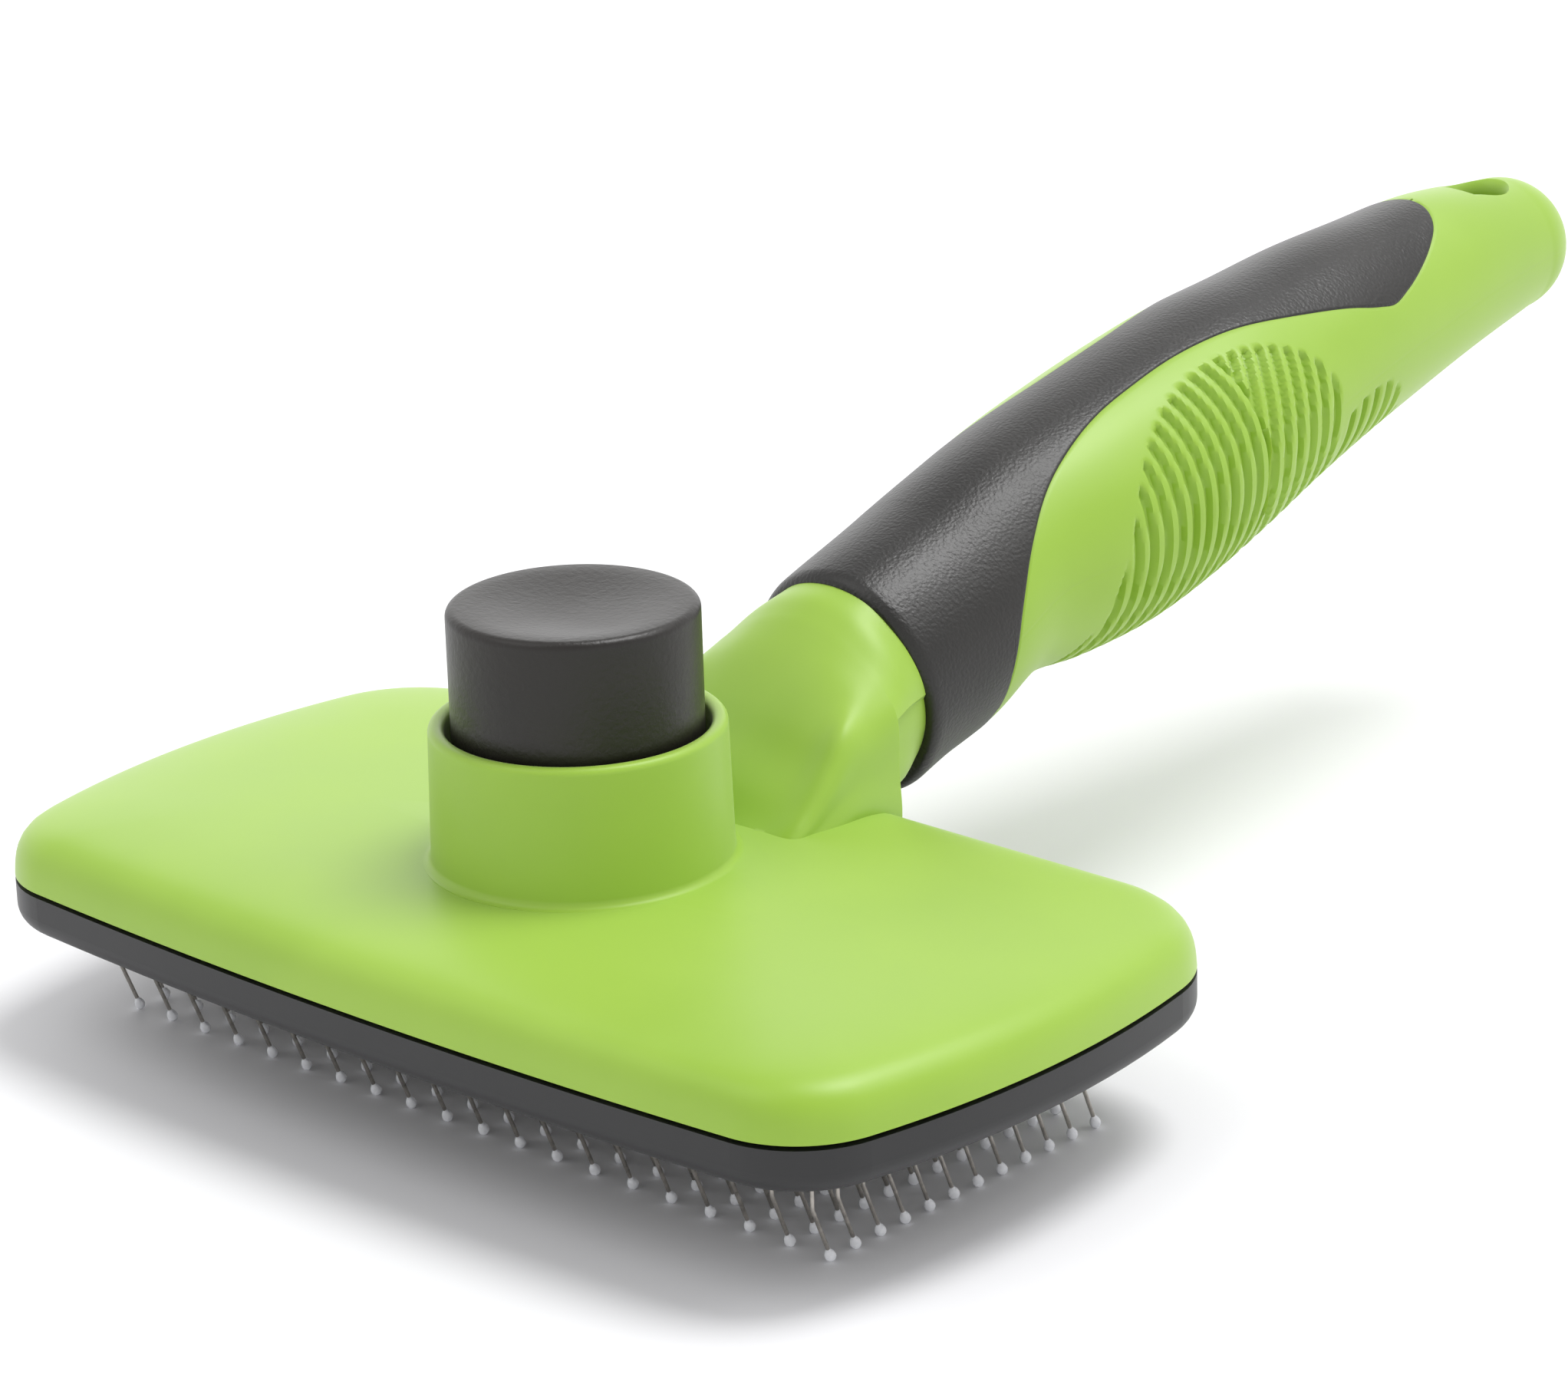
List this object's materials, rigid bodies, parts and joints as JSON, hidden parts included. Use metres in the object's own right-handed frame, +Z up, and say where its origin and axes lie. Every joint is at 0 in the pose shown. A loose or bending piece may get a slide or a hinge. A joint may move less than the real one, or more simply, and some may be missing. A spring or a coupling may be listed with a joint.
{
  "type": "slicker brush",
  "caption": "Self-cleaning slicker brush: wide head of bent wire pins with round tips, push button that slides the face plate down, soft-grip handle with a hanging hole.",
  "frame": {"origin": "centre of the bounding box at the level of the pin tips, which stand on the floor", "axes": "+Y from the head to the tail of the handle, +Z up from the pin tips to the button, +X to the right seen from the head"},
  "size_m": [0.1194, 0.1938, 0.0612],
  "materials": {
    "green_plastic": "satin moulded",
    "black_rubber": "fine-grained soft grip",
    "button_plastic": "fine-grained",
    "dark_plastic": "satin moulded",
    "inner_plastic": "plain moulded",
    "backing_sheet": "plain sheet",
    "steel_wire": "drawn wire",
    "white_tip": "smooth bead",
    "steel": "zinc-plated"
  },
  "bodies": {
    "root": {"board_screws": "steel", "handle_core_lower": "green_plastic", "handle_core_upper": "green_plastic", "head_shell": "green_plastic", "pin_backing_sheet": "backing_sheet", "pin_board": "inner_plastic", "pin_row_01": "steel_wire", "pin_row_02": "steel_wire", "pin_row_03": "steel_wire", "pin_row_04": "steel_wire", "pin_row_05": "steel_wire", "pin_row_06": "steel_wire", "pin_row_07": "steel_wire", "pin_row_08": "steel_wire", "pin_row_09": "steel_wire", "pin_row_10": "steel_wire", "pin_row_11": "steel_wire", "pin_row_12": "steel_wire", "pin_tips_01": "white_tip", "pin_tips_02": "white_tip", "pin_tips_03": "white_tip", "pin_tips_04": "white_tip", "pin_tips_05": "white_tip", "pin_tips_06": "white_tip", "pin_tips_07": "white_tip", "pin_tips_08": "white_tip", "pin_tips_09": "white_tip", "pin_tips_10": "white_tip", "pin_tips_11": "white_tip", "pin_tips_12": "white_tip", "return_spring": "steel", "soft_grip": "black_rubber"},
    "plunger": {"face_plate": "dark_plastic", "plunger_stem": "inner_plastic", "stem_screw": "steel", "push_button": "button_plastic"}
  },
  "joints": [
    {"name": "button_press", "type": "slide", "parent": "root", "child": "plunger", "axis": [0, 0, -1], "range_m": [0, 0.0095], "stiffness_N_per_m": 400, "springref_m": -0.012, "deforming": ["return_spring"]}
  ]
}
